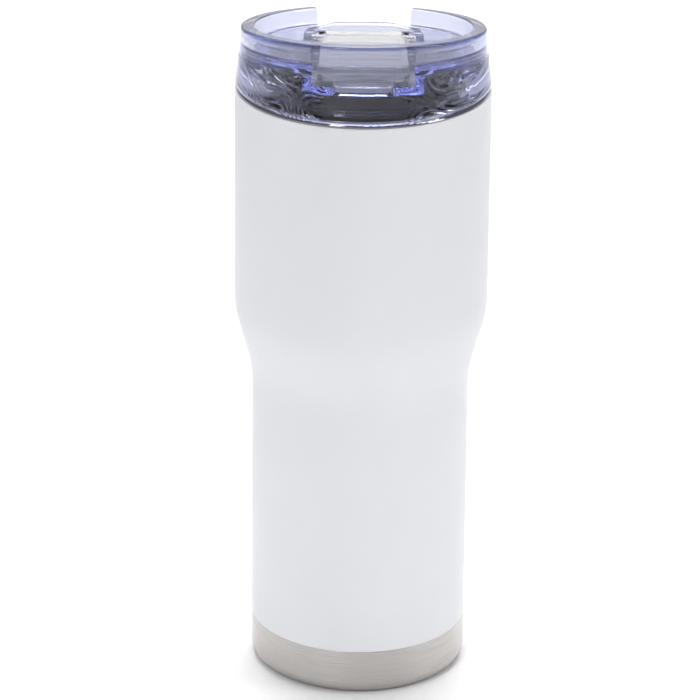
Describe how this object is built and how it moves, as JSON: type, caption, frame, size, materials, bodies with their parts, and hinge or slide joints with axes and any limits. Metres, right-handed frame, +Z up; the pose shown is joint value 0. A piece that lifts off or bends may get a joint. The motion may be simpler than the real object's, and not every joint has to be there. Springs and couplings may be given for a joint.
{
  "type": "insulated tumbler",
  "caption": "Double-walled steel drinking tumbler with a narrow lower half for cup holders, and a clear push-on lid whose hinged flap covers the drinking opening.",
  "frame": {"origin": "centre of the base, on the surface the tumbler stands on", "axes": "+Z up along the axis of the cup; -Y is the drinking side, where the lid is highest; +Y is the notched side, where the flap is hinged; +X is to the right seen from the drinking side"},
  "size_m": [0.08, 0.08, 0.2193],
  "materials": {
    "powder_coat": "white powder coat, satin, very fine texture",
    "base_steel": "bare stainless steel, turned and brushed round",
    "liner_steel": "stainless steel, electropolished inside",
    "copper": "copper foil, bright",
    "solder_glass": "fused glass solder",
    "getter_alloy": "pressed metal powder",
    "tinted_clear": "clear plastic with a periwinkle tint, polished",
    "clear": "clear plastic, polished",
    "silicone": "translucent silicone, matt"
  },
  "bodies": {
    "cup": {"outer_shell": "powder_coat", "liner_tube": "liner_steel", "liner_base": "liner_steel", "copper_foil": "copper", "base_cup": "base_steel", "base_disc": "base_steel", "port_seal": "solder_glass", "getter": "getter_alloy", "getter_clip": "liner_steel"},
    "lid": {"lid_body": "tinted_clear", "lid_gasket": "silicone"},
    "flap": {"flap": "clear", "flap_seal": "silicone"}
  },
  "joints": [
    {"name": "lid_lift", "type": "slide", "parent": "cup", "child": "lid", "axis": [0, 0, 1], "range_m": [0, 0.035]},
    {"name": "flap_hinge", "type": "hinge", "parent": "lid", "child": "flap", "pos_m": [0, 0.01761, 0.20302], "axis": [-1, 0, 0], "range_deg": [0, 155]}
  ]
}
